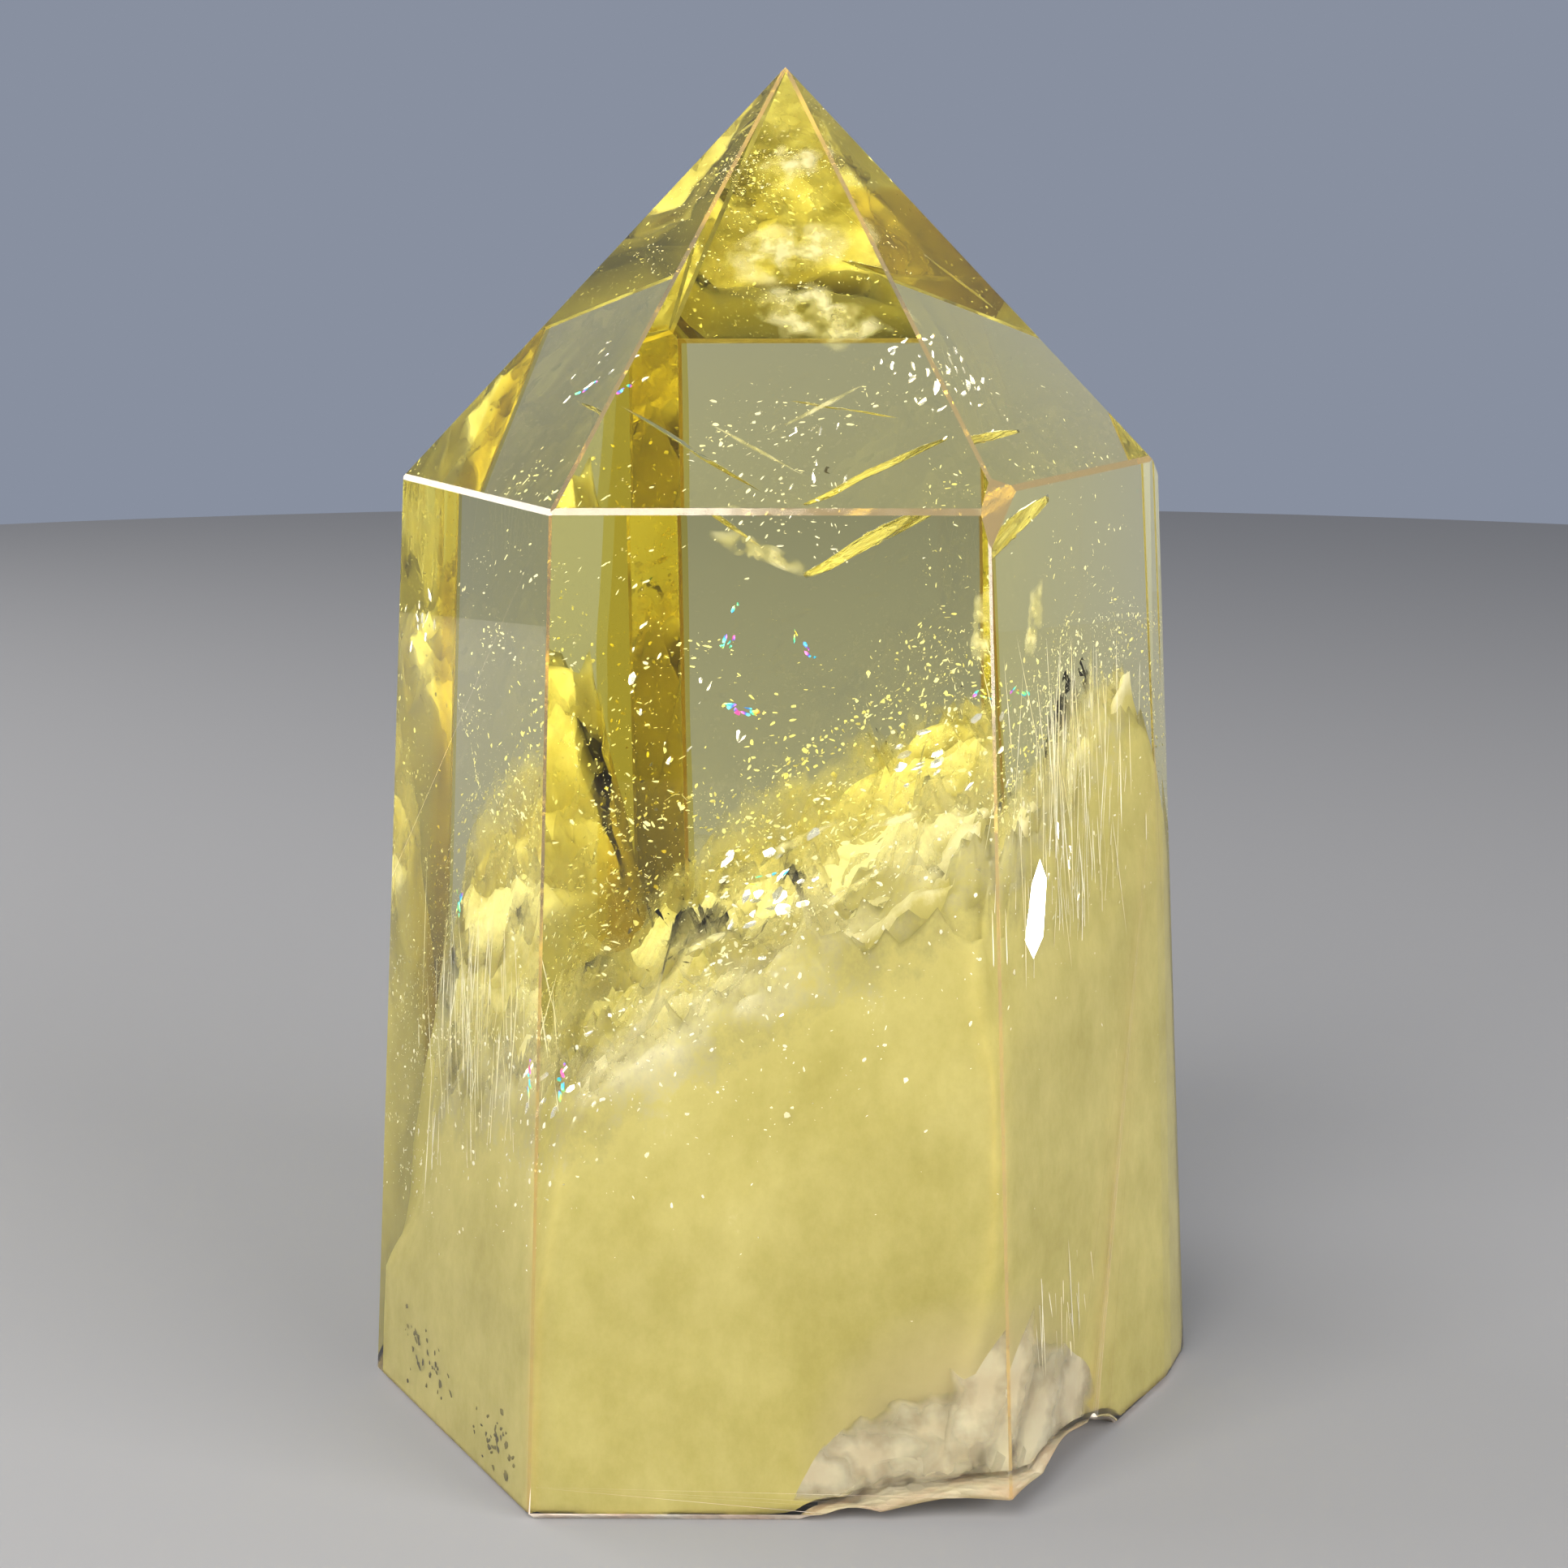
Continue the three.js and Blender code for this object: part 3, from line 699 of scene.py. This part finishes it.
# Bruise: where the flake broke away, the blow opened a fan of small cracks behind the front face. They are
# cream to faintly pink, and lie one behind the other over the broken corner.
PLATES = [
    # middle, facing, long way, half length, half width, waviness
    ((1.8, -23.0, 2.8), (0.0, -0.97, 0.25), (1, 0, 0.05), 3.6, 2.0, 0.2),
    ((5.0, -22.4, 3.6), (0.05, -0.97, 0.25), (1, 0, 0.05), 5.0, 2.4, 0.3),
    ((9.5, -21.6, 4.6), (0.1, -0.95, 0.3), (1, 0, 0.25), 5.0, 3.0, 0.4),
    ((12.8, -20.6, 8.0), (0.3, -0.92, 0.25), (0.35, 0, 1), 5.5, 2.4, 0.5),
    ((14.8, -19.0, 5.0), (0.5, -0.85, 0.2), (0.6, 0.3, 1), 5.0, 3.0, 0.5),
    ((18.0, -15.0, 5.0), (0.85, -0.5, 0.2), (0.3, 0.5, 0.8), 5.0, 3.2, 0.5),
    ((20.5, -10.5, 3.6), (0.86, -0.48, 0.2), (0.4, 0.8, 0.2), 4.0, 2.0, 0.4),
    ((7.0, -20.5, 3.0), (0, -0.8, 0.6), (1, 0, 0), 6.0, 2.5, 0.4),
]
# Bruised quartz: a crumbly cream with a touch of pink, lacy at its rim.
bruised_quartz, tree = blank_material("bruised_quartz")
place = node(tree, "ShaderNodeTexCoord").outputs["Object"]
crumbs = node(tree, "ShaderNodeTexNoise", {"Scale": pattern_scale(3), "Detail": 4.0, "Roughness": 0.55},
              {"Vector": place})
way_in = node(tree, "ShaderNodeAttribute", {"attribute_name": "inward"})
both = node(tree, "ShaderNodeMath", {"operation": "ADD"}, {0: crumbs.outputs[0], 1: way_in.outputs["Fac"]})
cover = node(tree, "ShaderNodeMapRange", {"From Min": 0.5, "From Max": 1.2, "To Max": 0.9},
             {"Value": both.outputs[0]})
blush = node(tree, "ShaderNodeValToRGB", None, {"Fac": crumbs.outputs[0]},
             ((0.4, "bfb298"), (0.62, "ccc5ae")))
shader = node(tree, "ShaderNodeBsdfPrincipled", {"Roughness": 0.5},
              {"Base Color": blush.outputs[0], "Alpha": cover.outputs[0]})
node(tree, "ShaderNodeOutputMaterial", None, {"Surface": shader.outputs[0]})
plates = [lens_sheet(*row, seed, CRACK_THICKNESS, rings=10, spokes=40, ragged=0.6)
          for seed, row in enumerate(PLATES, 110)]
sheets_piece("corner_bruise", plates, bruised_quartz)


# Silk: bundles of fine hollow growth tubes that run up the prism just under the right front and left front
# faces and show as long pale hairs.
SILK_BUNDLES = [
    # point on the face, face direction in degrees from the x axis, half width across, heights, count
    ((21.0, -12.5), -30.5, 8.5, (9, 52), 420),
    ((-21.0, -12.0), -150.6, 8.5, (4, 34), 160),
]
# The prism's taper in degrees, then depths under the face, half lengths and half widths in mm.
SILK_TAPER = 3.4
SILK_DEPTHS = (0.45, 1.8)
SILK_LENGTHS = (1.5, 7)
SILK_WIDTHS = (0.03, 0.1)
SILK_THICKNESS = 0.04
SILK_LEAN = 0.06
SILK_TILT = 0.2
SILK_STRAY = 0.035
rng = np.random.default_rng(33)
groups = []
for spot, direction, half, heights, count in SILK_BUNDLES:
    out = np.array([np.cos(np.radians(direction)), np.sin(np.radians(direction)), 0])
    across = np.array([-out[1], out[0], 0])
    height = rng.uniform(*heights, count)
    sideways = rng.normal(0, 0.5, count) * half
    inward = np.tan(np.radians(SILK_TAPER)) * height + rng.uniform(*SILK_DEPTHS, count)
    place = (np.array([*spot, 0]) + sideways[:, None] * across - inward[:, None] * out
             + height[:, None] * [0, 0, 1])
    length = rng.uniform(*SILK_LENGTHS, count)
    upward = np.array([0, 0, 1]) - SILK_LEAN * out
    groups.append((place, out + rng.normal(0, SILK_TILT, (count, 3)),
                   upward + rng.normal(0, SILK_STRAY, (count, 3)), length, rng.uniform(*SILK_WIDTHS, count)))
silk = [np.concatenate(part) for part in zip(*groups)]
# Growth tubes: white and satiny.
tube, tree = blank_material("growth_tube_silk")
place = node(tree, "ShaderNodeTexCoord").outputs["Object"]
beads = node(tree, "ShaderNodeTexNoise", {"Scale": pattern_scale(2.5), "Detail": 2.0}, {"Vector": place})
cream = node(tree, "ShaderNodeValToRGB", None, {"Fac": beads.outputs[0]},
             ((0.4, "efe7c0"), (0.6, "fffdf4")))
shader = node(tree, "ShaderNodeBsdfPrincipled", {"Roughness": 0.3}, {"Base Color": cream.outputs[0]})
node(tree, "ShaderNodeOutputMaterial", None, {"Surface": shader.outputs[0]})
flakes_piece("silk", *silk, SILK_THICKNESS, tube)


# Rainbow films: breaks so thin that light splits into colours in them. Short arcs and dots of them sit above
# the cloud and behind the left front face.
FILM_ARCS = [
    # middle, facing, long way, half length, bow in mm, count, half length of a piece
    ((-3.1, -16.1, 50.5), (-0.12, -0.96, 0.26), (1, 0, 0.05), 2.3, -0.7, 12, 0.35),
    ((12.1, -15.2, 51.4), (0.3, -0.9, 0.25), (1, 0.5, 0), 1.3, -0.4, 8, 0.3),
    ((-3.1, -15.8, 56), (-0.12, -0.96, 0.26), (0.2, 0, 1), 1.5, 0.4, 8, 0.3),
    ((1.5, -15.5, 54.5), (-0.12, -0.96, 0.26), (0.6, 0, -1), 1.6, 0.3, 7, 0.28),
    ((-10.6, -7.5, 67.6), (-0.4, -0.75, 0.5), (1, 0, 0.2), 0.9, 0.1, 4, 0.35),
    ((-19.1, -6.8, 35.4), (-0.7, -0.7, 0.2), (0.3, 0, 1), 1.5, 0.3, 8, 0.4),
    ((-13.4, -18.3, 28.5), (-0.12, -0.96, 0.26), (0.4, 0, 1), 2.2, -0.8, 10, 0.35),
    ((-1.0, -17.2, 40.3), (-0.12, -0.96, 0.26), (1, 0, 0.3), 1.2, 0.2, 5, 0.3),
]
FILM_LENGTHS = (0.5, 1.5)
FILM_WIDTHS = (0.2, 0.6)
FILM_SCATTER = 0.16
FILM_TILT = 0.07
FILM_TURN = 0.3
rng = np.random.default_rng(45)
groups = []
for middle, facing, long_way, half, bow, count, size in FILM_ARCS:
    share = rng.uniform(-1, 1, count)
    first = unit(np.array(long_way, float))
    second = unit(np.cross(np.array(facing, float), first))
    place = np.array(middle) + (share * half)[:, None] * first + (bow * (share**2 - 0.5))[:, None] * second
    place = place + rng.normal(0, FILM_SCATTER, (count, 3))
    tangent = first + (2 * bow * share / half)[:, None] * second
    groups.append((place, np.array(facing) + rng.normal(0, FILM_TILT, (count, 3)),
                   tangent + rng.normal(0, FILM_TURN, (count, 3)),
                   size * rng.uniform(*FILM_LENGTHS, count), size * rng.uniform(*FILM_WIDTHS, count)))
films = [np.concatenate(part) for part in zip(*groups)]
# Thin film: a faint mirror whose colour runs through the rainbow over a millimetre or so. The rainbow is a
# painted iridescent sheen, set in the film's colour by place and the same from every side.
film, tree = blank_material("rainbow_film")
place = node(tree, "ShaderNodeTexCoord").outputs["Object"]
bands = node(tree, "ShaderNodeTexNoise", {"Scale": pattern_scale(1.1), "Detail": 1.0}, {"Vector": place})
painted_rainbow_hues = node(tree, "ShaderNodeValToRGB", None, {"Fac": bands.outputs[0]},
            ((0.28, "ff9a3c"), (0.72, "ff6ad2"), (0.38, "ffe95a"), (0.46, "7dffb0"),
             (0.53, "3fd8ff"), (0.62, "5a6bff")))
shader = node(tree, "ShaderNodeBsdfPrincipled", {"Metallic": 0.3, "Roughness": 0.25},
              {"Base Color": painted_rainbow_hues.outputs[0]})
node(tree, "ShaderNodeOutputMaterial", None, {"Surface": shader.outputs[0]})
flakes_piece("rainbow_films", *films, FILM_THICKNESS, film)


# Grains: dark bits of another mineral caught as the stone grew. Near the base on the left they lie just under
# the faces, nearly flat to them, and a dot, a sliver and some flecks are higher up.
GRAIN_INSET = 0.4
GRAIN_BASE_ZONE = 8
GRAIN_FLATNESS = 12
GRAIN_LENGTHS = (0.3, 1)
GRAIN_WIDTHS = (0.4, 0.9)
GRAIN_THICKNESS = 0.06
GRAIN_CLUSTERS = [
    # middle, spread, count, half length
    ((-21.5, -8.5, 4.6), (1.4, 2.0, 1.4), 40, 0.45),
    ((-16.0, -17.5, 3.2), (1.6, 1.4, 1.0), 40, 0.45),
    ((2.7, -13.8, 64), (0.1, 0.1, 0.1), 3, 0.32),
    ((-11.6, -15.4, 45.4), (0.3, 0.2, 0.6), 4, 0.5),
    ((-9, -15, 40), (2.2, 1.5, 4.0), 26, 0.3),
]
rng = np.random.default_rng(57)
groups = []
for middle, spread, count, size in GRAIN_CLUSTERS:
    length = size * rng.uniform(*GRAIN_LENGTHS, count)
    place = np.array(middle) + rng.normal(0, 1, (count, 3)) * spread
    out = unit(place * [1, 1, 0])
    foot = place * [0, 0, 1]
    under = foot + (wall_distance(foot * MM, out) / MM - GRAIN_INSET)[:, None] * out
    low = place[:, 2:] < GRAIN_BASE_ZONE
    facing = np.where(low, out, 0) * GRAIN_FLATNESS + rng.normal(0, 1, (count, 3))
    groups.append((np.where(low, under, place), facing, rng.normal(0, 1, (count, 3)), length,
                   length * rng.uniform(*GRAIN_WIDTHS, count)))
grains = [np.concatenate(part) for part in zip(*groups)]
# Dark grain: brown to olive, dull.
grain, tree = blank_material("dark_mineral_grain")
place = node(tree, "ShaderNodeTexCoord").outputs["Object"]
kinds = node(tree, "ShaderNodeTexNoise", {"Scale": pattern_scale(3), "Detail": 2.0}, {"Vector": place})
earth = node(tree, "ShaderNodeValToRGB", None, {"Fac": kinds.outputs[0]},
             ((0.4, "4a4322"), (0.6, "7d7430")))
shader = node(tree, "ShaderNodeBsdfPrincipled", {"Roughness": 0.6}, {"Base Color": earth.outputs[0]})
node(tree, "ShaderNodeOutputMaterial", None, {"Surface": shader.outputs[0]})
flakes_piece("dark_grains", *grains, GRAIN_THICKNESS, grain)


# Floor: a plain round sheet of matt grey card that the stone stands on. It sends soft light up into the stone,
# and shows light grey in front of it and deeper behind.
FLOOR_RADIUS = 0.52
FLOOR_CORNERS = 128
angles = np.linspace(0, 2 * np.pi, FLOOR_CORNERS, endpoint=False)
rim = np.column_stack([np.cos(angles), np.sin(angles), np.zeros_like(angles)]) * FLOOR_RADIUS
floor_mesh = bpy.data.meshes.new("floor")
floor_mesh.from_pydata(rim.tolist(), [], [list(range(len(rim)))])
floor = bpy.data.objects.new("floor", floor_mesh)
collection.objects.link(floor)
card, tree = blank_material("matt_grey_card")
shader = node(tree, "ShaderNodeBsdfPrincipled", {"Base Color": linear("7b7c7f"), "Roughness": 0.85})
node(tree, "ShaderNodeOutputMaterial", None, {"Surface": shader.outputs[0]})
floor_mesh.materials.append(card)


# Studio light: a soft grey-blue room, a warm softbox over the front left, a second one, a little weaker, low
# on the right, and a third on the left, a little behind, whose light reaches the cloud through the faces.
world = bpy.data.worlds.new("studio")
world.use_nodes = True
backdrop = world.node_tree.nodes["Background"]
backdrop.inputs["Color"].default_value = linear("8f97a8")
backdrop.inputs["Strength"].default_value = 0.9
world.cycles.sampling_method = "NONE"
bpy.context.scene.world = world
SOFTBOXES = [
    # name, place, width and height in metres, watts, colour
    ("key", (-0.22, -0.42, 0.42), (0.45, 0.35), 6.6, "fff9ee"),
    ("fill", (0.4, -0.35, 0.2), (0.4, 0.4), 6.0, "fffaf2"),
    ("side", (-0.45, 0.16, 0.2), (0.4, 0.35), 3.0, "fffaf2"),
]
AIM = Vector((0, 0, 0.045))
for name, spot, size, watts, colour in SOFTBOXES:
    lamp = bpy.data.lights.new(name, "AREA")
    lamp.shape = "RECTANGLE"
    lamp.size, lamp.size_y = size
    lamp.energy = watts
    lamp.color = linear(colour)[:3]
    holder = bpy.data.objects.new(name, lamp)
    holder.location = spot
    holder.rotation_euler = (AIM - Vector(spot)).to_track_quat("-Z", "Y").to_euler()
    collection.objects.link(holder)


# Camera: the photograph's angle, close in front and a little above, tilted down. The lens comes from the
# picture's side and its focal length, both in pixels.
IMAGE_SIDE = 1932
FOCAL_PIXELS = 3490
TILT_DOWN = 12.3
CAMERA_PLACE = (0, -0.18966, 0.0836)
SENSOR_WIDTH = 36
camera_data = bpy.data.cameras.new("camera")
camera_data.sensor_width = SENSOR_WIDTH
camera_data.lens = SENSOR_WIDTH * FOCAL_PIXELS / IMAGE_SIDE
camera_data.clip_start = 0.01
camera = bpy.data.objects.new("camera", camera_data)
camera.location = CAMERA_PLACE
camera.rotation_euler = (math.radians(90 - TILT_DOWN), 0, 0)
collection.objects.link(camera)
bpy.context.scene.camera = camera
bpy.context.scene.view_settings.view_transform = "Standard"

# Light goes round many times inside a clear stone before it comes out.
cycles = bpy.context.scene.cycles
cycles.max_bounces = 12
cycles.glossy_bounces = 12
cycles.transmission_bounces = 12
cycles.transparent_max_bounces = 8
cycles.diffuse_bounces = 4
